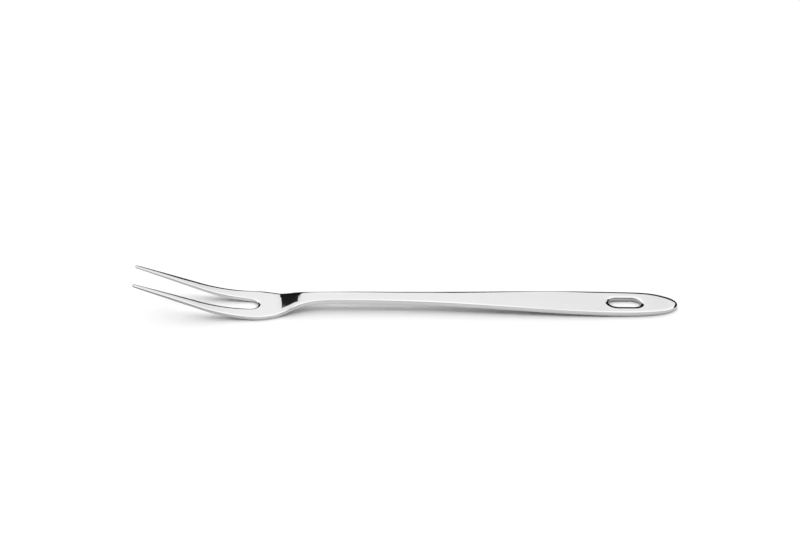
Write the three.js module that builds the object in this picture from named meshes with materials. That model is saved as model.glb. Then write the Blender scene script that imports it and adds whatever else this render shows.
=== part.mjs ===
import * as THREE from "three";

// Meat fork of polished stainless steel: a forged two-tined head, welded in the neck to a slotted handle.
// Millimetres, +Z up. The tines point to -X, the handle to +X, and the fork lies on its two soles at z = 0.

// Lengths along the fork, one after the other from the tine tips to the end of the handle
const tineLength = 71.1;
const shoulderLength = 26.1;
const neckLength = 23;
const handleFlareLength = 157.3;
const handleEndLength = 42.5;

// Tines and the gap between them, in plan
const gapAtTips = 18.9;
const gapRootRadius = 5.5;
const tineTipWidth = 2.2;
const tineRootWidth = 8.8;
const tineNoseLength = 1.8;

// Neck, handle and hanging slot, in plan
const neckWidth = 9.4;
const handleWidth = 23.2;
const handleEndFullness = 3.5;
const slotLength = 19.6;
const slotWidth = 10.4;
const slotEndWeb = 21.9;

// Side view: the bend of the tines, the soles and the clearance under the neck and the handle
const tineAngle = THREE.MathUtils.degToRad(20.7);
const tineBendRadius = 107;
const headSoleSetback = 4;
const headSoleLength = 6;
const neckClearance = 4.53;
const handleArchClearance = 4.4;
const handleArchSetback = 50;
const handleSoleLength = 4;

// Thickness of the steel, and the rounding of its edges
const tineTipThickness = 1;
const headThickness = 2.25;
const neckThickness = 3.35;
const handleThickness = 2.15;
const handleEndThickness = 2.6;
const edgeRoundShare = 0.28;

// Steps of the surface
const roundSteps = 3;
const noseSteps = 5;
const arcSteps = 9;
const plainStep = 4.5;

// Places along X, with the middle of the fork at x = 0
const overallLength = tineLength + shoulderLength + neckLength + handleFlareLength + handleEndLength;
const tipX = -overallLength / 2;
const noseX = tipX + tineNoseLength;
const rootX = tipX + tineLength;
const neckX = rootX + shoulderLength;
const weldX = neckX + neckLength;
const widestX = weldX + handleFlareLength;
const endX = widestX + handleEndLength;
const gapCentreX = rootX - gapRootRadius;
const slotRadius = slotWidth / 2;
const slotEndX = endX - slotEndWeb;
const slotStartX = slotEndX - slotLength;
const headSoleFrontX = rootX + headSoleSetback;
const headSoleBackX = headSoleFrontX + headSoleLength;
const handleSoleX = endX - handleSoleLength;

const mix = THREE.MathUtils.lerp;
const plan = (x, y) => new THREE.Vector2(x, y);

// A smooth curve y(x) with continuous curvature through a few points, flat or free at either end.
function spline(points, { flatStart = false, flatEnd = false } = {}) {
  const last = points.length - 1;
  const step = points.slice(1).map(([x], i) => x - points[i][0]);
  const rise = points.slice(1).map(([, y], i) => (y - points[i][1]) / step[i]);
  const diagonal = [flatStart ? 2 * step[0] : 1];
  const upper = [flatStart ? step[0] : 0];
  const right = [flatStart ? 6 * rise[0] : 0];
  for (let i = 1; i <= last; i++) {
    const inside = i < last;
    const lower = inside || flatEnd ? step[i - 1] : 0;
    const ratio = lower / diagonal[i - 1];
    const own = inside ? 2 * (step[i - 1] + step[i]) : flatEnd ? 2 * step[i - 1] : 1;
    const target = inside ? 6 * (rise[i] - rise[i - 1]) : flatEnd ? -6 * rise[i - 1] : 0;
    diagonal.push(own - ratio * upper[i - 1]);
    upper.push(inside ? step[i] : 0);
    right.push(target - ratio * right[i - 1]);
  }
  const bend = new Array(last + 1).fill(0);
  for (let i = last; i >= 0; i--) {
    bend[i] = (right[i] - (i < last ? upper[i] * bend[i + 1] : 0)) / diagonal[i];
  }
  return (x) => {
    const next = points.findIndex(([px], i) => i > 0 && x <= px);
    const i = next < 0 ? last - 1 : next - 1;
    const a = (points[i + 1][0] - x) / step[i];
    const b = 1 - a;
    const sag = (a ** 3 - a) * bend[i] + (b ** 3 - b) * bend[i + 1];
    return a * points[i][1] + b * points[i + 1][1] + (sag * step[i] ** 2) / 6;
  };
}

// Half the gap: straight edges that close evenly from the tips and run tangent into the round root.
const tipRun = Math.hypot(gapCentreX - tipX, gapAtTips / 2);
const gapSlope = Math.atan2(gapAtTips / 2, gapCentreX - tipX) - Math.asin(gapRootRadius / tipRun);
const gapTangentX = gapCentreX - gapRootRadius * Math.sin(gapSlope);

function halfGap(x) {
  if (x <= gapTangentX) {
    return gapAtTips / 2 - (x - tipX) * Math.tan(gapSlope);
  }
  return Math.sqrt(Math.max(gapRootRadius ** 2 - (x - gapCentreX) ** 2, 0));
}

// Outer edge: evenly tapered tines, an S-curved shoulder, the slim neck and the flared handle.
const tineWidth = (x) => mix(tineTipWidth, tineRootWidth, (x - tipX) / (gapTangentX - tipX));
const tineOutside = (x) => [x, halfGap(x) + tineWidth(x)];
const headHalfWidth = tineOutside(gapTangentX)[1];
const onShoulder = (along, share) => [
  mix(rootX, neckX, along),
  mix(neckWidth / 2, headHalfWidth, share),
];
const onFlare = (along, share) => [
  mix(weldX, widestX, along),
  mix(neckWidth / 2, handleWidth / 2, share),
];
const sideEdge = spline(
  [
    tineOutside(noseX),
    tineOutside(mix(tipX, gapTangentX, 0.5)),
    tineOutside(gapTangentX),
    onShoulder(0.12, 0.97),
    onShoulder(0.56, 0.595),
    onShoulder(1, 0.19),
    onFlare(0, 0),
    onFlare(0.35, 0.19),
    onFlare(0.7, 0.7),
    onFlare(1, 1),
  ],
  { flatEnd: true },
);

function halfWidth(x) {
  if (x <= widestX) {
    return sideEdge(x);
  }
  const along = Math.min((x - widestX) / handleEndLength, 1);
  return (handleWidth / 2) * Math.sqrt(1 - along ** handleEndFullness);
}

// Underside: straight tines, their bend, the flat head sole, the S of the neck, the arched handle, its sole.
const archX = weldX + handleArchSetback;
const archFall = spline(
  [
    [headSoleBackX, 0],
    [mix(headSoleBackX, weldX, 0.31), neckClearance * 0.66],
    [mix(headSoleBackX, weldX, 0.62), neckClearance * 0.99],
    [weldX, neckClearance],
    [archX, handleArchClearance],
    [mix(archX, handleSoleX, 0.5), handleArchClearance * 0.59],
    [mix(archX, handleSoleX, 0.85), handleArchClearance * 0.17],
    [mix(archX, handleSoleX, 0.95), handleArchClearance * 0.08],
    [handleSoleX, 0],
  ],
  { flatStart: true, flatEnd: true },
);

function underside(x) {
  if (x < headSoleFrontX) {
    const run = headSoleFrontX - x;
    const bendRun = tineBendRadius * Math.sin(tineAngle);
    const bent = Math.min(run, bendRun);
    const straight = Math.max(run - bendRun, 0);
    return tineBendRadius - Math.sqrt(tineBendRadius ** 2 - bent ** 2) + straight * Math.tan(tineAngle);
  }
  const flat = x <= headSoleBackX || x >= handleSoleX;
  return flat ? 0 : archFall(x);
}

// Thickness: thin at the tips, thickest in the neck, even along the handle, a little more at its end.
const thickness = spline([
  [tipX, tineTipThickness],
  [mix(tipX, rootX, 0.3), mix(tineTipThickness, headThickness, 0.52)],
  [rootX, headThickness],
  [neckX, mix(headThickness, neckThickness, 0.5)],
  [mix(neckX, weldX, 0.75), neckThickness],
  [mix(weldX, archX, 0.56), mix(neckThickness, handleThickness, 0.17)],
  [mix(archX, widestX, 0.33), handleThickness],
  [widestX, handleThickness],
  [endX, handleEndThickness],
]);

const topside = (x) => underside(x) + thickness(x);
const edgeRadius = (x) => edgeRoundShare * thickness(x);

// Outward plan normals of an edge whose steel lies on its right, with those of its two ends given.
function outwardNormals(path, first, last) {
  return path.map((point, i) => {
    if (i === 0) return first;
    if (i === path.length - 1) return last;
    const along = path[i + 1].clone().sub(path[i - 1]).normalize();
    return plan(-along.y, along.x);
  });
}

// The steel's edge at one point: from the upper face over both rounded corners to the underside.
function edgeSection(point, normal) {
  const section = [];
  for (const face of [1, -1]) {
    for (let k = 0; k <= roundSteps; k++) {
      const turn = ((face > 0 ? k : roundSteps - k) / roundSteps) * (Math.PI / 2);
      const radius = edgeRadius(point.x);
      const { x, y } = point.clone().addScaledVector(normal, -radius * (1 - Math.sin(turn)));
      const depth = radius * (1 - Math.cos(turn));
      section.push(new THREE.Vector3(x, y, face > 0 ? topside(x) - depth : underside(x) + depth));
    }
  }
  return section;
}

const centreSection = (x) => [new THREE.Vector3(x, 0, topside(x)), new THREE.Vector3(x, 0, underside(x))];

// Closed plate from pairs of sections on its inner and outer edge, made on both sides of the middle plane.
// A section of two points lies on the middle plane itself, where the two sides join.
function platePiece(inner, outer, { openEnd = false, openStart = false }) {
  const corners = [];
  for (const side of [1, -1]) {
    const mirrored = (p) => new THREE.Vector3(p.x, side * p.y, p.z);
    const triangle = (a, b, c) => {
      const doubleArea = b.clone().sub(a).cross(c.clone().sub(a)).length();
      if (doubleArea > 1e-7) {
        corners.push(...(side > 0 ? [a, b, c] : [a, c, b]).map(mirrored));
      }
    };
    const quad = (a, b, c, d) => {
      triangle(a, b, c);
      triangle(a, c, d);
    };
    const weldFace = (centre, rim, face) => {
      const [above, below] = face > 0 ? centre : [centre[1], centre[0]];
      const around = face > 0 ? [...rim].reverse() : rim;
      [below, ...around].slice(0, -1).forEach((point, k) => triangle(above, point, around[k]));
    };
    for (let i = 0; i + 1 < inner.length; i++) {
      quad(inner[i][0], inner[i + 1][0], outer[i + 1][0], outer[i][0]);
      quad(outer[i].at(-1), outer[i + 1].at(-1), inner[i + 1].at(-1), inner[i].at(-1));
      for (let k = 0; k + 1 < outer[i].length; k++) {
        quad(outer[i][k], outer[i + 1][k], outer[i + 1][k + 1], outer[i][k + 1]);
        if (inner[i].length > 2 && inner[i + 1].length > 2) {
          quad(inner[i][k + 1], inner[i + 1][k + 1], inner[i + 1][k], inner[i][k]);
        }
      }
    }
    if (openEnd) weldFace(inner.at(-1), outer.at(-1), 1);
    if (openStart) weldFace(inner[0], outer[0], -1);
  }
  const geometry = new THREE.BufferGeometry().setFromPoints(corners);
  geometry.computeVertexNormals();
  return geometry;
}

// Places between two values, about one step apart, without the first.
function evenly(from, to, step = plainStep) {
  const count = Math.max(Math.ceil((to - from) / step), 1);
  return Array.from({ length: count }, (_, i) => mix(from, to, (i + 1) / count));
}

// Places that crowd towards the far end of a round, from its start to its end, without the first.
const roundingIn = (from, to, steps) =>
  Array.from({ length: steps }, (_, i) => mix(from, to, Math.sin(((i + 1) / steps) * (Math.PI / 2))));

function forkHead() {
  // Each tine ends in a small half-elliptical nose about its own centre line.
  const noseInside = halfGap(noseX);
  const noseHalf = (halfWidth(noseX) - noseInside) / 2;
  const nose = (side) =>
    Array.from({ length: noseSteps + 1 }, (_, i) => {
      const turn = (i / noseSteps) * (Math.PI / 2);
      const x = noseX - tineNoseLength * Math.cos(turn);
      return plan(x, noseInside + noseHalf * (1 + side * Math.sin(turn)));
    });
  const gapPlaces = [...evenly(noseX, gapTangentX), ...roundingIn(gapTangentX, rootX, arcSteps)];
  const solidPlaces = [
    ...evenly(rootX + headSoleSetback / 2, headSoleFrontX),
    ...evenly(headSoleFrontX, headSoleBackX),
    ...evenly(headSoleBackX, weldX),
  ];
  const gapEdge = [...nose(-1), ...gapPlaces.map((x) => plan(x, halfGap(x)))];
  const outerEdge = [...nose(1), ...[...gapPlaces, ...solidPlaces].map((x) => plan(x, halfWidth(x)))];
  const gapNormals = outwardNormals([...gapEdge].reverse(), plan(-1, 0), plan(-1, 0)).reverse();
  const outerNormals = outwardNormals(outerEdge, plan(-1, 0), plan(0, 1));
  const inner = [
    ...gapEdge.map((point, i) => edgeSection(point, gapNormals[i])),
    ...solidPlaces.map(centreSection),
  ];
  const outer = outerEdge.map((point, i) => edgeSection(point, outerNormals[i]));
  return platePiece(inner, outer, { openEnd: true });
}

function handle() {
  // The hanging slot has straight sides and round ends.
  const slotArc = (from) =>
    Array.from({ length: arcSteps + 1 }, (_, i) => from + (i / arcSteps) * (Math.PI / 2));
  const slotEdge = [
    ...slotArc(0).map((turn) =>
      plan(slotEndX - slotRadius * (1 - Math.cos(turn)), slotRadius * Math.sin(turn)),
    ),
    ...slotArc(Math.PI / 2).map((turn) =>
      plan(slotStartX + slotRadius * (1 + Math.cos(turn)), slotRadius * Math.sin(turn)),
    ),
  ];
  const slotNormals = outwardNormals(slotEdge, plan(-1, 0), plan(1, 0));
  const slotSections = slotEdge.map((point, i) => edgeSection(point, slotNormals[i])).reverse();
  const slotPlaces = slotEdge.map((point) => point.x).reverse();
  const clear = 2 * edgeRadius(slotStartX);
  const front = [weldX, ...evenly(weldX, slotStartX - clear)];
  const back = [
    ...evenly(slotEndX, handleSoleX, plainStep / 2),
    ...roundingIn(handleSoleX, endX, arcSteps),
  ];
  const outerEdge = [...front, ...slotPlaces, ...back].map((x) => plan(x, halfWidth(x)));
  const outerNormals = outwardNormals(outerEdge, plan(0, 1), plan(1, 0));
  const outer = outerEdge.map((point, i) => edgeSection(point, outerNormals[i]));
  const lastCentre = endX - edgeRadius(endX);
  const inner = [
    ...front.map(centreSection),
    ...slotSections,
    ...back.map((x) => centreSection(Math.min(x, lastCentre))),
  ];
  return platePiece(inner, outer, { openStart: true });
}

function steelPiece(name, geometry) {
  const steel = new THREE.MeshStandardMaterial({ color: 0xdcdddf, metalness: 1, roughness: 0.16 });
  const piece = new THREE.Mesh(geometry, steel);
  piece.name = name;
  return piece;
}

const fork = new THREE.Group();
fork.add(steelPiece("fork_head", forkHead()), steelPiece("handle", handle()));

export default fork;
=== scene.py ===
import math

import bpy
import numpy as np
from mathutils import Matrix, Vector


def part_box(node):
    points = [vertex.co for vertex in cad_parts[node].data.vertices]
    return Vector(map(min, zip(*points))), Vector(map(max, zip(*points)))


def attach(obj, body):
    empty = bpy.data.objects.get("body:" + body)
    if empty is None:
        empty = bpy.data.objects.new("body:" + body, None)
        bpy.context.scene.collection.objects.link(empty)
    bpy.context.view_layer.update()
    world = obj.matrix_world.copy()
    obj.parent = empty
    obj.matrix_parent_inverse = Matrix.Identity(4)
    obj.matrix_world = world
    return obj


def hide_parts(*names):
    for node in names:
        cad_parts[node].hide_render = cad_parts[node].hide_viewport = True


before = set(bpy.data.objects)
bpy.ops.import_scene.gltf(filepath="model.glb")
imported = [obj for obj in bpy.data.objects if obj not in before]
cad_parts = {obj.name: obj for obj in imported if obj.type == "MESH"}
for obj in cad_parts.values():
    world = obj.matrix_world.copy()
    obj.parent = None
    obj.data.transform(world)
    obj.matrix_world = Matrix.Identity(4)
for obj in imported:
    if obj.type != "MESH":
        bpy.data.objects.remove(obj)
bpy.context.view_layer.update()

# Fork head: two tapered tines, the shoulder and the front of the neck, in polished stainless steel.
# It is cut as a flat blank with its edges rolled over, pressed to its side profile in a die,
# and welded to the handle in the neck.
mm = 0.001
tip_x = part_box("fork_head")[0][0]
weld_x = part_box("fork_head")[1][0]
end_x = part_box("handle")[1][0]
tine_length = 71.1 * mm
shoulder_length = 26.1 * mm
root_x = tip_x + tine_length
neck_x = root_x + shoulder_length
gap_at_tips = 18.9 * mm
gap_root_radius = 5.5 * mm
tine_tip_width = 2.2 * mm
tine_root_width = 8.8 * mm
tine_nose_length = 1.8 * mm
neck_width = 9.4 * mm
handle_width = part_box("handle")[1][1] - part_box("handle")[0][1]
handle_end_length = 42.5 * mm
handle_end_fullness = 3.5
widest_x = end_x - handle_end_length


def mix(start, end, share):
    return start + (end - start) * share


def spline(points, flat_start=False, flat_end=False):
    """Curve y(x) of continuous curvature through a few points, flat or free at either end."""
    px, py = np.array(points, dtype=float).T
    step = np.diff(px)
    rise = np.diff(py) / step
    count = len(px)
    rows = np.zeros((count, count))
    target = np.zeros(count)
    for i in range(1, count - 1):
        rows[i, i - 1 : i + 2] = step[i - 1], 2 * (step[i - 1] + step[i]), step[i]
        target[i] = 6 * (rise[i] - rise[i - 1])
    rows[0, :2] = (2 * step[0], step[0]) if flat_start else (1, 0)
    target[0] = 6 * rise[0] if flat_start else 0
    rows[-1, -2:] = (step[-1], 2 * step[-1]) if flat_end else (0, 1)
    target[-1] = -6 * rise[-1] if flat_end else 0
    bend = np.linalg.solve(rows, target)

    def curve(x):
        i = np.clip(np.searchsorted(px, x) - 1, 0, count - 2)
        a = (px[i + 1] - x) / step[i]
        b = 1 - a
        sag = (a**3 - a) * bend[i] + (b**3 - b) * bend[i + 1]
        return a * py[i] + b * py[i + 1] + sag * step[i] ** 2 / 6

    return curve


# The gap closes evenly from the tips and runs tangent into its round root.
gap_centre_x = root_x - gap_root_radius
tip_run = math.hypot(gap_centre_x - tip_x, gap_at_tips / 2)
gap_slope = math.atan2(gap_at_tips / 2, gap_centre_x - tip_x) - math.asin(gap_root_radius / tip_run)
gap_tangent_x = gap_centre_x - gap_root_radius * math.sin(gap_slope)


def half_gap(x):
    straight = gap_at_tips / 2 - (x - tip_x) * math.tan(gap_slope)
    round_root = np.sqrt(np.maximum(gap_root_radius**2 - (x - gap_centre_x) ** 2, 0))
    return np.where(x <= gap_tangent_x, straight, round_root)


def tine_width(x):
    return mix(tine_tip_width, tine_root_width, (x - tip_x) / (gap_tangent_x - tip_x))


def tine_outside(x):
    return x, float(half_gap(x)) + tine_width(x)


def on_shoulder(along, share):
    head_half_width = tine_outside(gap_tangent_x)[1]
    return mix(root_x, neck_x, along), mix(neck_width / 2, head_half_width, share)


def on_flare(along, share):
    return mix(weld_x, widest_x, along), mix(neck_width / 2, handle_width / 2, share)


side_edge = spline(
    [
        tine_outside(tip_x + tine_nose_length),
        tine_outside(mix(tip_x, gap_tangent_x, 0.5)),
        tine_outside(gap_tangent_x),
        on_shoulder(0.12, 0.97),
        on_shoulder(0.56, 0.595),
        on_shoulder(1, 0.19),
        on_flare(0, 0),
        on_flare(0.35, 0.19),
        on_flare(0.7, 0.7),
        on_flare(1, 1),
    ],
    flat_end=True,
)


def half_width(x):
    along = np.clip((x - widest_x) / handle_end_length, 0, 1)
    rounded = handle_width / 2 * np.sqrt(1 - along**handle_end_fullness)
    return np.where(x <= widest_x, side_edge(np.minimum(x, widest_x)), rounded)


# The die gives the side profile: upswept tines, a flat sole, the S of the neck and the arched handle.
tine_angle = math.radians(20.7)
tine_bend_radius = 107 * mm
head_sole_front_x = root_x + 4 * mm
head_sole_back_x = head_sole_front_x + 6 * mm
neck_clearance = 4.53 * mm
arch_clearance = 4.4 * mm
arch_x = weld_x + 50 * mm
handle_sole_x = end_x - 4 * mm
arched = spline(
    [
        (head_sole_back_x, 0),
        (mix(head_sole_back_x, weld_x, 0.31), neck_clearance * 0.66),
        (mix(head_sole_back_x, weld_x, 0.62), neck_clearance * 0.99),
        (weld_x, neck_clearance),
        (arch_x, arch_clearance),
        (mix(arch_x, handle_sole_x, 0.5), arch_clearance * 0.59),
        (mix(arch_x, handle_sole_x, 0.85), arch_clearance * 0.17),
        (mix(arch_x, handle_sole_x, 0.95), arch_clearance * 0.08),
        (handle_sole_x, 0),
    ],
    flat_start=True,
    flat_end=True,
)


# The handle is fuller underneath than its plain thickness, from the arch to the sole at its end.
fullest = 0.68 * mm
fuller_from_x = mix(weld_x, arch_x, 0.6)
fullness = spline(
    [
        (fuller_from_x, 0),
        (mix(arch_x, handle_sole_x, 0.07), 0.55 * fullest),
        (mix(arch_x, handle_sole_x, 0.27), fullest),
        (mix(arch_x, handle_sole_x, 0.55), 0.9 * fullest),
        (mix(arch_x, handle_sole_x, 0.8), 0.75 * fullest),
        (mix(arch_x, handle_sole_x, 0.9), 0.55 * fullest),
        (mix(arch_x, handle_sole_x, 0.95), 0.35 * fullest),
        (handle_sole_x, 0),
    ],
    flat_start=True,
    flat_end=True,
)


def underneath(x):
    """Steel that the fuller underside adds below the plain thickness."""
    return fullness(np.clip(x, fuller_from_x, handle_sole_x))


def underside(x):
    run = np.maximum(head_sole_front_x - x, 0)
    bend_run = tine_bend_radius * math.sin(tine_angle)
    bent = np.minimum(run, bend_run)
    swept = tine_bend_radius - np.sqrt(tine_bend_radius**2 - bent**2)
    swept = swept + np.maximum(run - bend_run, 0) * math.tan(tine_angle)
    on_arch = (x > head_sole_back_x) & (x < handle_sole_x)
    lift = arched(np.clip(x, head_sole_back_x, handle_sole_x)) - underneath(x)
    return swept + np.where(on_arch, lift, 0)


tine_tip_thickness = 1.0 * mm
head_thickness = 2.25 * mm
neck_thickness = 3.35 * mm
handle_thickness = 2.15 * mm
handle_end_thickness = 2.6 * mm
plain_thickness = spline(
    [
        (tip_x, tine_tip_thickness),
        (mix(tip_x, root_x, 0.3), mix(tine_tip_thickness, head_thickness, 0.52)),
        (root_x, head_thickness),
        (neck_x, mix(head_thickness, neck_thickness, 0.5)),
        (mix(neck_x, weld_x, 0.75), neck_thickness),
        (mix(weld_x, arch_x, 0.56), mix(neck_thickness, handle_thickness, 0.17)),
        (mix(arch_x, widest_x, 0.33), handle_thickness),
        (widest_x, handle_thickness),
        (end_x, handle_end_thickness),
    ]
)


def thickness(x):
    return plain_thickness(x) + underneath(x)


# Each edge rolls over on an elliptical corner, wider than it is deep, as a buffing wheel leaves it.
edge_roll_width = 2.0 * mm
shoulder_roll_width = 6.5 * mm
neck_roll_width = 1.0 * mm
end_roll_width = 3.7 * mm
even_roll_x = root_x - 20 * mm
tine_roll_share = 0.4
tine_roll_stretch = 0.3
tine_stretch_x = root_x - 37 * mm
tine_stretch_run = 8 * mm
nose_roll_share = 0.38
root_roll_stretch = 1.8
side_roll_depth = 0.11
end_roll_depth = 0.28
root_roll_depth = 0.47
roll_steps = 10
land_steps = 6
roll_margin = 1.3
crease_guard = 0.2 * mm
most_guard_share = 0.1
least_span = 0.000001 * mm
roll_width = spline(
    [
        (even_roll_x, edge_roll_width),
        (mix(even_roll_x, root_x, 0.7), 0.65 * edge_roll_width),
        (root_x, 0.65 * edge_roll_width),
        (head_sole_front_x, edge_roll_width),
        (mix(head_sole_back_x, weld_x, 0.08), mix(edge_roll_width, shoulder_roll_width, 0.2)),
        (mix(head_sole_back_x, weld_x, 0.2), shoulder_roll_width),
        (mix(head_sole_back_x, weld_x, 0.38), mix(neck_roll_width, shoulder_roll_width, 0.4)),
        (mix(head_sole_back_x, weld_x, 0.6), neck_roll_width),
        (weld_x, 1.1 * neck_roll_width),
        (mix(weld_x, arch_x, 0.45), 0.85 * edge_roll_width),
        (mix(weld_x, arch_x, 0.85), edge_roll_width),
        (mix(arch_x, widest_x, 0.23), 0.85 * edge_roll_width),
        (mix(arch_x, widest_x, 0.4), 0.7 * edge_roll_width),
        (mix(arch_x, widest_x, 0.62), 0.4 * edge_roll_width),
        (mix(arch_x, widest_x, 0.74), 0.4 * edge_roll_width),
        (mix(arch_x, widest_x, 0.9), 0.8 * edge_roll_width),
        (mix(widest_x, end_x, 0.2), 0.9 * edge_roll_width),
        (mix(widest_x, end_x, 0.45), 1.1 * edge_roll_width),
        (mix(widest_x, end_x, 0.7), 1.3 * edge_roll_width),
        (end_x, end_roll_width),
    ],
    flat_start=True,
    flat_end=True,
)


def edge_roll(path, normals, tine_stretch=0):
    """Roll width along an edge: wider across the gap's root and, by the stretch, far out on a tine."""
    x = path[:, 0]
    along = roll_width(np.maximum(x, even_roll_x)) * mix(1, root_roll_stretch, normals[:, 0] ** 2)
    past_nose = np.clip((x - tip_x) / tine_nose_length, 0, 1)
    most = tine_roll_share * tine_width(x) * mix(nose_roll_share, 1, past_nose)
    far_out = np.clip((tine_stretch_x - x) / tine_stretch_run, 0, 1)
    return np.minimum(along, most) * mix(1, 1 + tine_stretch, far_out * past_nose)


def outward_normals(path, first, last):
    """Plan normals of an edge whose steel lies on its right, with those of its two ends given."""
    along = path[2:] - path[:-2]
    along /= np.linalg.norm(along, axis=1, keepdims=True)
    return np.vstack([first, np.column_stack([-along[:, 1], along[:, 0]]), last])


def rolled_edge(path, normals, width, end_depth=end_roll_depth):
    """Rows of blank points from the upper face over both rolled corners to the underside."""
    x = path[:, 0]
    depth_share = mix(side_roll_depth, end_depth, normals[:, 0] ** 2)
    depth = depth_share * np.minimum(plain_thickness(x), handle_thickness)
    turn = np.linspace(0, math.pi / 2, roll_steps + 1)
    rows = []
    for upper in (True, False):
        for angle in turn if upper else turn[::-1]:
            place = path - normals * np.reshape(width, (-1, 1)) * (1 - math.sin(angle))
            drop = depth * (1 - math.cos(angle))
            height = thickness(place[:, 0]) - drop if upper else drop
            rows.append(np.column_stack([place, height]))
    return np.stack(rows, axis=1)


def across(start, end, upper):
    """Rows of blank points across one face, with a guard row close to each of its two edges."""
    span = np.linalg.norm(end[:, :2] - start[:, :2], axis=1, keepdims=True)
    guard = np.minimum(crease_guard / np.maximum(span, least_span), most_guard_share)
    rows = []
    for share in (0, guard, *np.linspace(0, 1, land_steps + 1)[1:-1], 1 - guard, 1):
        place = mix(start, end, share)
        place[:, 2] = thickness(place[:, 0]) if upper else 0
        rows.append(place)
    return np.stack(rows, axis=1)


# Levels of wall darkening: partly a real duller finish on the edges left by the shear, partly painted shade
# that stands in for the shaded floor the walls reflect.
handle_dulling_and_shade = 0.45
most_dulling_and_shade = 1
gap_dulling_and_shade_share = 0.72


def wall_dulling_and_shade(x):
    """How dull and dark a wall is: partly a less polished edge, partly painted shade; half polished on the
    handle, as ground with the most shade at the tips.
    """
    return mix(handle_dulling_and_shade, most_dulling_and_shade, np.clip((root_x - x) / tine_length, 0, 1))


def blank_mesh(name, inner, inner_dulling_and_shade, has_gap, outer, weld_index):
    """Closed flat blank, both sides of the middle plane, from its inner and outer edge rows."""
    upper = across(inner[:, 0], outer[:, 0], True)
    lower = across(outer[:, -1], inner[:, -1], False)
    points, faces, wall = [], [], []
    is_wall = np.zeros(outer.shape[1])
    is_wall[roll_steps : roll_steps + 2] = 1

    def add_grid(grid, keep, side, wall_rows=0):
        first = len(points)
        stations, rows = grid.shape[:2]
        points.extend((grid.reshape(-1, 3) * (1, side, 1)).tolist())
        wall.extend(np.broadcast_to(wall_rows, (stations, rows)).ravel().tolist())
        for i in range(stations - 1):
            if not keep[i]:
                continue
            for k in range(rows - 1):
                a = first + i * rows + k
                face = (a, a + rows, a + rows + 1, a + 1)
                faces.append(face if side > 0 else face[::-1])

    whole = np.ones(len(outer), dtype=bool)
    for side in (1, -1):
        add_grid(upper, whole, side)
        add_grid(outer, whole, side, wall_dulling_and_shade(outer[:, :1, 0]) * is_wall)
        add_grid(lower, whole, side)
        add_grid(inner[:, ::-1], has_gap, side, inner_dulling_and_shade * is_wall)
        rim = np.vstack([upper[weld_index], outer[weld_index][1:], lower[weld_index][1:]])
        first = len(points)
        points.extend((rim * (1, side, 1)).tolist())
        wall.extend([0] * upper.shape[1])
        wall.extend((wall_dulling_and_shade(outer[weld_index, 0, 0]) * is_wall[1:]).tolist())
        wall.extend([0] * (lower.shape[1] - 1))
        loop = list(range(first, first + len(rim)))
        faces.append(loop if (side > 0) == (weld_index == 0) else loop[::-1])
    mesh = bpy.data.meshes.new(name)
    mesh.from_pydata(points, [], faces)
    # Each point carries how rough and how darkened its wall is: partly a duller edge finish, partly painted
    # shade.
    mesh.attributes.new("dull_wall_and_painted_shade", "FLOAT", "POINT").data.foreach_set("value", wall)
    return mesh


def evenly(start, end, step):
    count = max(math.ceil((end - start) / step), 1)
    return np.linspace(start, end, count + 1)[1:]


def rounding_in(start, end, count):
    """Places that crowd towards the far end of a round."""
    return mix(start, end, np.sin(np.linspace(0, math.pi / 2, count + 1)[1:]))


plain_step = 1.0 * mm
nose_steps = 12
nose_turn = np.linspace(0, math.pi / 2, nose_steps + 1)
nose_x = tip_x + tine_nose_length * (1 - np.cos(nose_turn))
nose_inside = float(half_gap(nose_x[-1]))
nose_half = (float(half_width(nose_x[-1])) - nose_inside) / 2
root_steps = 24
tine_x = evenly(nose_x[-1], gap_tangent_x, plain_step)
gap_x = np.concatenate([tine_x, rounding_in(gap_tangent_x, root_x, root_steps)])
beside_root_x = np.linspace(gap_tangent_x, root_x + roll_margin * edge_roll_width, root_steps + 1)[1:]
palm_x = np.concatenate(
    [
        evenly(beside_root_x[-1], head_sole_back_x, plain_step),
        evenly(head_sole_back_x, weld_x, plain_step),
    ]
)
nose_inner, nose_outer = [
    np.column_stack([nose_x, nose_inside + nose_half * (1 + side * np.sin(nose_turn))])
    for side in (-1, 1)
]
gap_edge = np.vstack([nose_inner, np.column_stack([gap_x, half_gap(gap_x)])])
side_x = np.concatenate([tine_x, beside_root_x, palm_x])
outer_edge = np.vstack([nose_outer, np.column_stack([side_x, half_width(side_x)])])
gap_normals = outward_normals(gap_edge[::-1], (-1, 0), (-1, 0))[::-1]
outer_normals = outward_normals(outer_edge, (-1, 0), (0, 1))
gap_end_depth = np.where(gap_edge[:, 0] > gap_tangent_x, root_roll_depth, end_roll_depth)
gap_rows = rolled_edge(gap_edge, gap_normals, edge_roll(gap_edge, gap_normals), gap_end_depth)
outer_rows = rolled_edge(outer_edge, outer_normals, edge_roll(outer_edge, outer_normals, tine_roll_stretch))


def centre_rows(x, like):
    """Rows on the middle plane: the upper face's point, repeated, and then the underside's."""
    rows = np.zeros((len(x), like.shape[1], 3))
    rows[..., 0] = x[:, None]
    rows[:, : like.shape[1] // 2, 2] = thickness(x)[:, None]
    return rows


head_inner = np.vstack([gap_rows, centre_rows(palm_x, gap_rows)])
head_has_gap = np.arange(len(head_inner)) < len(gap_edge) - 1
# The gap's walls take a share of it, rising to the darkest painted shade on the round root, which faces along
# the fork.
gap_dulling_and_shade = gap_dulling_and_shade_share * wall_dulling_and_shade(head_inner[:, :1, 0])
gap_dulling_and_shade[: len(gap_edge)] = mix(gap_dulling_and_shade[: len(gap_edge)], most_dulling_and_shade, gap_normals[:, :1] ** 2)
head_weld_index = len(outer_rows) - 1
head_blank = blank_mesh("fork_head_blank", head_inner, gap_dulling_and_shade, head_has_gap, outer_rows, head_weld_index)

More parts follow.
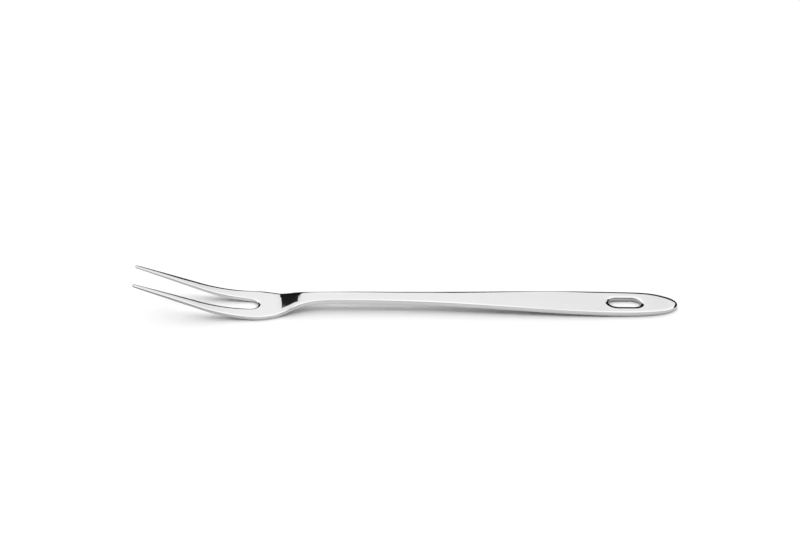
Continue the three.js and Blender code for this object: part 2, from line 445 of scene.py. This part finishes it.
# The die is a narrow sheet that carries the side profile past both ends of the fork.
die_reach = 2 * mm
die_half_width = 20 * mm
die_step = 0.25 * mm
die_x = evenly(tip_x - die_reach, end_x + die_reach, die_step)
die_rows = np.stack(
    [
        np.column_stack([die_x, np.full_like(die_x, y), underside(die_x)])
        for y in (-die_half_width, die_half_width)
    ],
    axis=1,
)
die_mesh = bpy.data.meshes.new("press_die")
die_mesh.from_pydata(
    die_rows.reshape(-1, 3).tolist(),
    [],
    [(2 * i, 2 * i + 2, 2 * i + 3, 2 * i + 1) for i in range(len(die_x) - 1)],
)
die = bpy.data.objects.new("press_die", die_mesh)
bpy.context.scene.collection.objects.link(die)

# The press lifts every point of a blank by the height of the die straight below it.
press_stroke = 50 * mm
merge_distance = 0.002 * mm
press = bpy.data.node_groups.new("press_in_die", "GeometryNodeTree")
press.interface.new_socket("Blank", in_out="INPUT", socket_type="NodeSocketGeometry")
die_input = press.interface.new_socket("Die", in_out="INPUT", socket_type="NodeSocketObject")
stroke_input = press.interface.new_socket("Stroke", in_out="INPUT", socket_type="NodeSocketFloat")
weld_input = press.interface.new_socket("Weld distance", in_out="INPUT", socket_type="NodeSocketFloat")
steel_input = press.interface.new_socket("Steel", in_out="INPUT", socket_type="NodeSocketMaterial")
press.interface.new_socket("Pressed piece", in_out="OUTPUT", socket_type="NodeSocketGeometry")
nodes, link = press.nodes, press.links.new
given = nodes.new("NodeGroupInput")
die_shape = nodes.new("GeometryNodeObjectInfo")
link(given.outputs["Die"], die_shape.inputs["Object"])
place = nodes.new("GeometryNodeInputPosition")
split = nodes.new("ShaderNodeSeparateXYZ")
link(place.outputs["Position"], split.inputs["Vector"])
below = nodes.new("ShaderNodeMath")
below.operation = "MULTIPLY"
below.inputs[1].default_value = -1
link(given.outputs["Stroke"], below.inputs[0])
start = nodes.new("ShaderNodeCombineXYZ")
link(split.outputs["X"], start.inputs["X"])
link(below.outputs["Value"], start.inputs["Z"])
reach = nodes.new("ShaderNodeMath")
reach.operation = "MULTIPLY"
reach.inputs[1].default_value = 2
link(given.outputs["Stroke"], reach.inputs[0])
ray = nodes.new("GeometryNodeRaycast")
ray.inputs["Ray Direction"].default_value = (0, 0, 1)
link(die_shape.outputs["Geometry"], ray.inputs["Target Geometry"])
link(start.outputs["Vector"], ray.inputs["Source Position"])
link(reach.outputs["Value"], ray.inputs["Ray Length"])
touched = nodes.new("ShaderNodeSeparateXYZ")
link(ray.outputs["Hit Position"], touched.inputs["Vector"])
lift = nodes.new("ShaderNodeCombineXYZ")
link(touched.outputs["Z"], lift.inputs["Z"])
pressed = nodes.new("GeometryNodeSetPosition")
link(given.outputs["Blank"], pressed.inputs["Geometry"])
link(lift.outputs["Vector"], pressed.inputs["Offset"])
merged = nodes.new("GeometryNodeMergeByDistance")
link(pressed.outputs["Geometry"], merged.inputs["Geometry"])
link(given.outputs["Weld distance"], merged.inputs["Distance"])
smooth = nodes.new("GeometryNodeSetShadeSmooth")
link(merged.outputs["Geometry"], smooth.inputs["Geometry"])
realised = nodes.new("GeometryNodeRealizeInstances")
link(smooth.outputs["Geometry"], realised.inputs["Geometry"])
finished = nodes.new("GeometryNodeSetMaterial")
link(realised.outputs["Geometry"], finished.inputs["Geometry"])
link(given.outputs["Steel"], finished.inputs["Material"])
result = nodes.new("NodeGroupOutput")
link(finished.outputs["Geometry"], result.inputs["Pressed piece"])


def polished_steel(name):
    """Buffed stainless steel with faint lengthwise polishing lines; its walls are rougher and darker, partly
    a duller finish on the edges left by the shear and partly painted shade.
    """
    steel = bpy.data.materials.new(name)
    steel.use_nodes = True
    nodes, link = steel.node_tree.nodes, steel.node_tree.links.new
    shader = nodes["Principled BSDF"]
    shader.inputs["Metallic"].default_value = 1
    position = nodes.new("ShaderNodeTexCoord")
    lengthwise = nodes.new("ShaderNodeMapping")
    lengthwise.inputs["Scale"].default_value = (30, 2200, 2200)
    link(position.outputs["Object"], lengthwise.inputs["Vector"])
    lines = nodes.new("ShaderNodeTexNoise")
    lines.inputs["Scale"].default_value = 1
    lines.inputs["Detail"].default_value = 3
    link(lengthwise.outputs["Vector"], lines.inputs["Vector"])
    relief = nodes.new("ShaderNodeBump")
    relief.inputs["Strength"].default_value = 0.05
    relief.inputs["Distance"].default_value = 0.00002
    link(lines.outputs["Fac"], relief.inputs["Height"])
    link(relief.outputs["Normal"], shader.inputs["Normal"])
    clouds = nodes.new("ShaderNodeTexNoise")
    clouds.inputs["Scale"].default_value = 45
    clouds.inputs["Detail"].default_value = 4
    link(position.outputs["Object"], clouds.inputs["Vector"])
    haze = nodes.new("ShaderNodeMapRange")
    haze.inputs["From Min"].default_value = 0.35
    haze.inputs["From Max"].default_value = 0.7
    haze.inputs["To Min"].default_value = 0.02
    haze.inputs["To Max"].default_value = 0.05
    link(clouds.outputs["Fac"], haze.inputs["Value"])
    # The wall attribute makes the walls rougher and darker: a duller edge finish plus painted shade.
    dull_wall_and_painted_shade = nodes.new("ShaderNodeAttribute")
    dull_wall_and_painted_shade.attribute_name = "dull_wall_and_painted_shade"
    finish = nodes.new("ShaderNodeMix")
    finish.inputs["B"].default_value = 0.6
    link(dull_wall_and_painted_shade.outputs["Fac"], finish.inputs["Factor"])
    link(haze.outputs["Result"], finish.inputs["A"])
    link(finish.outputs["Result"], shader.inputs["Roughness"])
    tint = nodes.new("ShaderNodeValToRGB")
    tint.color_ramp.elements[0].position = 0.3
    tint.color_ramp.elements[0].color = (0.835, 0.835, 0.84, 1)
    tint.color_ramp.elements[1].position = 0.7
    tint.color_ramp.elements[1].color = (0.865, 0.865, 0.865, 1)
    link(clouds.outputs["Fac"], tint.inputs["Fac"])
    # Towards dark grey on the walls: painted shade for the shaded floor they reflect, on top of the duller
    # edge finish.
    tone = nodes.new("ShaderNodeMixRGB")
    tone.inputs["Color2"].default_value = (0.27, 0.27, 0.275, 1)
    link(dull_wall_and_painted_shade.outputs["Fac"], tone.inputs["Fac"])
    link(tint.outputs["Color"], tone.inputs["Color1"])
    link(tone.outputs["Color"], shader.inputs["Base Color"])
    return steel


def pressed_piece(name, blank, steel):
    """Presses a blank in the die and returns the piece as a plain mesh object."""
    blank.materials.append(steel)
    work = bpy.data.objects.new(name + "_blank", blank)
    bpy.context.scene.collection.objects.link(work)
    stamp = work.modifiers.new("press", "NODES")
    stamp.node_group = press
    stamp[die_input.identifier] = die
    stamp[stroke_input.identifier] = press_stroke
    stamp[weld_input.identifier] = merge_distance
    stamp[steel_input.identifier] = steel
    graph = bpy.context.evaluated_depsgraph_get()
    mesh = bpy.data.meshes.new_from_object(work.evaluated_get(graph))
    work.modifiers.remove(stamp)
    bpy.data.objects.remove(work)
    mesh.name = name
    piece = bpy.data.objects.new(name, mesh)
    bpy.context.scene.collection.objects.link(piece)
    return piece


weld_slack = 0.001 * mm


def crease_weld_face(piece):
    """Keeps the flat weld face out of the smooth shading of the steel round it."""
    mesh = piece.data
    at_weld = [abs(vertex.co.x - weld_x) < weld_slack for vertex in mesh.vertices]
    on_face = [all(at_weld[v] for v in edge.vertices) for edge in mesh.edges]
    sharp = mesh.attributes.get("sharp_edge") or mesh.attributes.new("sharp_edge", "BOOLEAN", "EDGE")
    sharp.data.foreach_set("value", on_face)
    mesh.update()


head_steel = polished_steel("head_steel")
fork_head = pressed_piece("fork_head_polished", head_blank, head_steel)
crease_weld_face(fork_head)
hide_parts("fork_head")
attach(fork_head, "root")

# Handle: the flat flared bar of the same steel, from the weld in the neck to the rounded end.
# Its hanging slot is punched through the blank and buffed round the rim before the blank is pressed.
slot_length = 19.6 * mm
slot_radius = 5.2 * mm
slot_end_web = 21.9 * mm
slot_end_x = end_x - slot_end_web
slot_start_x = slot_end_x - slot_length
slot_rim_roll = 3.0 * mm
slot_turn_steps = 24
slot_turn = np.linspace(0, math.pi / 2, slot_turn_steps + 1)
slot_back_x = slot_end_x - slot_radius * (1 - np.cos(slot_turn))
slot_front_x = slot_start_x + slot_radius * (1 - np.sin(slot_turn))
slot_side_x = evenly(slot_start_x + slot_radius, slot_end_x - slot_radius, plain_step)[:-1][::-1]
slot_edge = np.vstack(
    [
        np.column_stack([slot_back_x, slot_radius * np.sin(slot_turn)]),
        np.column_stack([slot_side_x, np.full_like(slot_side_x, slot_radius)]),
        np.column_stack([slot_front_x, slot_radius * np.cos(slot_turn)]),
    ]
)
slot_normals = outward_normals(slot_edge, (-1, 0), (1, 0))
slot_rows = rolled_edge(slot_edge, slot_normals, slot_rim_roll)[::-1]
slot_margin = roll_margin * slot_rim_roll
beside_slot_x = np.linspace(slot_start_x - slot_margin, slot_end_x + slot_margin, len(slot_edge))
front_x = np.concatenate([[weld_x], evenly(weld_x, beside_slot_x[0], plain_step)[:-1]])
end_steps = 30
back_x = np.concatenate(
    [
        evenly(beside_slot_x[-1], handle_sole_x, plain_step),
        rounding_in(handle_sole_x, end_x, end_steps),
    ]
)
handle_edge_x = np.concatenate([front_x, beside_slot_x, back_x])
handle_edge = np.column_stack([handle_edge_x, half_width(handle_edge_x)])
handle_normals = outward_normals(handle_edge, (0, 1), (1, 0))
handle_rows = rolled_edge(handle_edge, handle_normals, roll_width(handle_edge_x))
end_fan_length = 1.5 * end_roll_width
last_centre_x = end_x - end_fan_length
handle_inner = np.vstack(
    [
        centre_rows(front_x, slot_rows),
        slot_rows,
        centre_rows(np.minimum(back_x, last_centre_x), slot_rows),
    ]
)
station = np.arange(len(handle_inner))
handle_has_gap = (station >= len(front_x)) & (station < len(front_x) + len(slot_edge) - 1)
# The slot's walls are darkened strongly: duller edge finish plus painted shade inside the hole.
slot_dulling_and_shade = 0.65
handle_blank = blank_mesh("handle_blank", handle_inner, slot_dulling_and_shade, handle_has_gap, handle_rows, 0)
handle_steel = polished_steel("handle_steel")
handle = pressed_piece("handle_polished", handle_blank, handle_steel)
crease_weld_face(handle)
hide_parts("handle")
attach(handle, "root")
bpy.data.objects.remove(die)

# Floor: a wide sheet of matt white board that the fork lies on.
# It has no gloss, takes the soft contact shadow and runs past the picture on every side.
floor_reach = 6
floor_corners = [(x * floor_reach, y * floor_reach, 0) for x, y in ((-1, -1), (1, -1), (1, 1), (-1, 1))]
floor_mesh = bpy.data.meshes.new("floor_board")
floor_mesh.from_pydata(floor_corners, [], [(0, 1, 2, 3)])
floor = bpy.data.objects.new("floor_board", floor_mesh)
bpy.context.scene.collection.objects.link(floor)


def matt_card(name, grey, roughness):
    """Card of one plain grey, without gloss."""
    material = bpy.data.materials.new(name)
    material.use_nodes = True
    shader = material.node_tree.nodes["Principled BSDF"]
    shader.inputs["Base Color"].default_value = (grey, grey, grey, 1)
    shader.inputs["Roughness"].default_value = roughness
    shader.inputs["Specular IOR Level"].default_value = 0
    return material


floor_mesh.materials.append(matt_card("white_board", grey=0.97, roughness=0.9))

# Studio flags: black cards that stand outside the picture, which the steel shows as dark edge lines.
# A low wall runs round the set. A card stands behind the fork, with a step up to the left, a notched
# rim and a slope up to the right, and a smaller card stands upright on the right.
flag_distance = 0.6
card_outline = [
    (-0.8, 0),
    (0.8, 0),
    (0.8, 0.9),
    (0.65, 0.7),
    (0.55, 0.6),
    (0.46, 0.53),
    (0.44, 0.45),
    (0.435, 0.33),
    (0.42, 0.315),
    (0.36, 0.315),
    (0.33, 0.335),
    (0.3, 0.335),
    (0.26, 0.343),
    (0.12, 0.343),
    (0.09, 0.3),
    (-0.13, 0.3),
    (-0.15, 0.27),
    (-0.18, 0.28),
    (-0.194, 0.3),
    (-0.208, 0.325),
    (-0.218, 0.34),
    (-0.23, 0.337),
    (-0.241, 0.332),
    (-0.25, 0.335),
    (-0.264, 0.338),
    (-0.277, 0.328),
    (-0.297, 0.3155),
    (-0.31, 0.307),
    (-0.36, 0.306),
    (-0.36, 0.56),
    (-0.8, 0.56),
]
card_mesh = bpy.data.meshes.new("back_flag")
card_mesh.from_pydata([(x, flag_distance, z) for x, z in card_outline], [], [tuple(range(len(card_outline)))])
back_card = bpy.data.objects.new("back_flag", card_mesh)
wall_radius = 1.6
wall_height = 0.5
wall_count = 64
wall_turn = np.linspace(0, 2 * math.pi, wall_count + 1)[:-1]
wall_points = [
    (wall_radius * math.cos(turn), wall_radius * math.sin(turn), height)
    for height in (0, wall_height)
    for turn in wall_turn
]
wall_faces = []
for i in range(wall_count):
    following = (i + 1) % wall_count
    wall_faces.append((i, following, wall_count + following, wall_count + i))
wall_mesh = bpy.data.meshes.new("low_flag_wall")
wall_mesh.from_pydata(wall_points, [], wall_faces)
wall_ring = bpy.data.objects.new("low_flag_wall", wall_mesh)
side_flag_x = 0.65
side_outline = [(-0.3, 0), (0.6, 0), (0.6, 0.7), (0.3, 0.5), (-0.3, 0.45)]
side_mesh = bpy.data.meshes.new("side_flag")
side_mesh.from_pydata([(side_flag_x, y, z) for y, z in side_outline], [], [tuple(range(len(side_outline)))])
side_card = bpy.data.objects.new("side_flag", side_mesh)
black_card = matt_card("black_card", grey=0.018, roughness=1)
for flag in (back_card, side_card, wall_ring):
    bpy.context.scene.collection.objects.link(flag)
    flag.data.materials.append(black_card)
    flag.visible_camera = False
    flag.visible_diffuse = False
    flag.visible_shadow = False

# Light: a white tent that the steel reflects, a little greyer low down and to the right and dimmer at
# its top vent. The camera sees it as plain white. A broad soft key from behind and a wide dim panel
# overhead light the floor and the near edges.
fill_level = 0.05
tent = bpy.data.worlds.new("white_tent")
bpy.context.scene.world = tent
tent.use_nodes = True
nodes, link = tent.node_tree.nodes, tent.node_tree.links.new
background = nodes["Background"]
direction = nodes.new("ShaderNodeTexCoord")
axes = nodes.new("ShaderNodeSeparateXYZ")
link(direction.outputs["Generated"], axes.inputs["Vector"])


def tent_ramp(axis, start, end, start_tone, end_tone):
    """Tone of the tent that changes along one axis of the direction."""
    ramp = nodes.new("ShaderNodeMapRange")
    ramp.inputs["From Min"].default_value = start
    ramp.inputs["From Max"].default_value = end
    ramp.inputs["To Min"].default_value = start_tone
    ramp.inputs["To Max"].default_value = end_tone
    link(axes.outputs[axis], ramp.inputs["Value"])
    return ramp.outputs["Result"]


def tent_math(operation, first, second):
    step = nodes.new("ShaderNodeMath")
    step.operation = operation
    link(first, step.inputs[0])
    link(second, step.inputs[1])
    return step.outputs["Value"]


rightward = tent_ramp("X", start=0.1, end=0.5, start_tone=1, end_tone=0.93)
upward = tent_ramp("Z", start=0.42, end=0.54, start_tone=0.85, end_tone=1)
top_vent = tent_ramp("Z", start=0.91, end=0.97, start_tone=1, end_tone=0.5)
sides = tent_math("MULTIPLY", rightward, upward)
tent_tone = tent_math("MULTIPLY", sides, top_vent)
ray_kind = nodes.new("ShaderNodeLightPath")
to_camera = ray_kind.outputs["Is Camera Ray"]
white_or_tone = tent_math("MAXIMUM", tent_tone, to_camera)
seen = tent_math("MAXIMUM", to_camera, ray_kind.outputs["Is Glossy Ray"])
seen_or_through = tent_math("MAXIMUM", seen, ray_kind.outputs["Is Transmission Ray"])
tent_light = nodes.new("ShaderNodeMix")
tent_light.inputs["A"].default_value = fill_level
link(seen_or_through, tent_light.inputs["Factor"])
link(white_or_tone, tent_light.inputs["B"])
link(tent_light.outputs["Result"], background.inputs["Color"])
key_light = bpy.data.lights.new("soft_key", "SUN")
key_light.energy = 3.4
key_light.angle = math.radians(120)
key = bpy.data.objects.new("soft_key", key_light)
key.rotation_euler = (math.radians(-25), 0, math.radians(-10))
key.visible_glossy = False
bpy.context.scene.collection.objects.link(key)
panel_light = bpy.data.lights.new("overhead_panel", "AREA")
panel_light.shape = "RECTANGLE"
panel_light.size = 2
panel_light.size_y = 1.8
panel_light.energy = 1.9
panel = bpy.data.objects.new("overhead_panel", panel_light)
panel.location = (0, 0.4, 1)
bpy.context.scene.collection.objects.link(panel)

# Camera: a short telephoto lens that is placed and turned as in the photograph.
# It looks down on the fork from the front, a little from the left, and is rolled slightly off level.
camera_azimuth = math.radians(-4.778)
camera_elevation = math.radians(30.599)
camera_roll = math.radians(2.44)
camera_distance = 0.9244
camera_target = Vector((-0.0028, 0.04665, 0))
focal_pixels = 1500
image_width = 800
sensor_width = 36
back = Vector(
    (
        math.sin(camera_azimuth) * math.cos(camera_elevation),
        -math.cos(camera_azimuth) * math.cos(camera_elevation),
        math.sin(camera_elevation),
    )
)
level_right = Vector((math.cos(camera_azimuth), math.sin(camera_azimuth), 0))
upright = back.cross(level_right)
right = level_right * math.cos(camera_roll) + upright * math.sin(camera_roll)
up = upright * math.cos(camera_roll) - level_right * math.sin(camera_roll)
camera_data = bpy.data.cameras.new("photo_camera")
camera_data.sensor_width = sensor_width
camera_data.lens = focal_pixels * sensor_width / image_width
camera_data.clip_start = 0.01
camera = bpy.data.objects.new("photo_camera", camera_data)
place_and_turn = Matrix((right, up, back)).transposed().to_4x4()
place_and_turn.translation = camera_target + back * camera_distance
camera.matrix_world = place_and_turn
bpy.context.scene.collection.objects.link(camera)
bpy.context.scene.camera = camera
bpy.context.scene.view_settings.view_transform = "Standard"
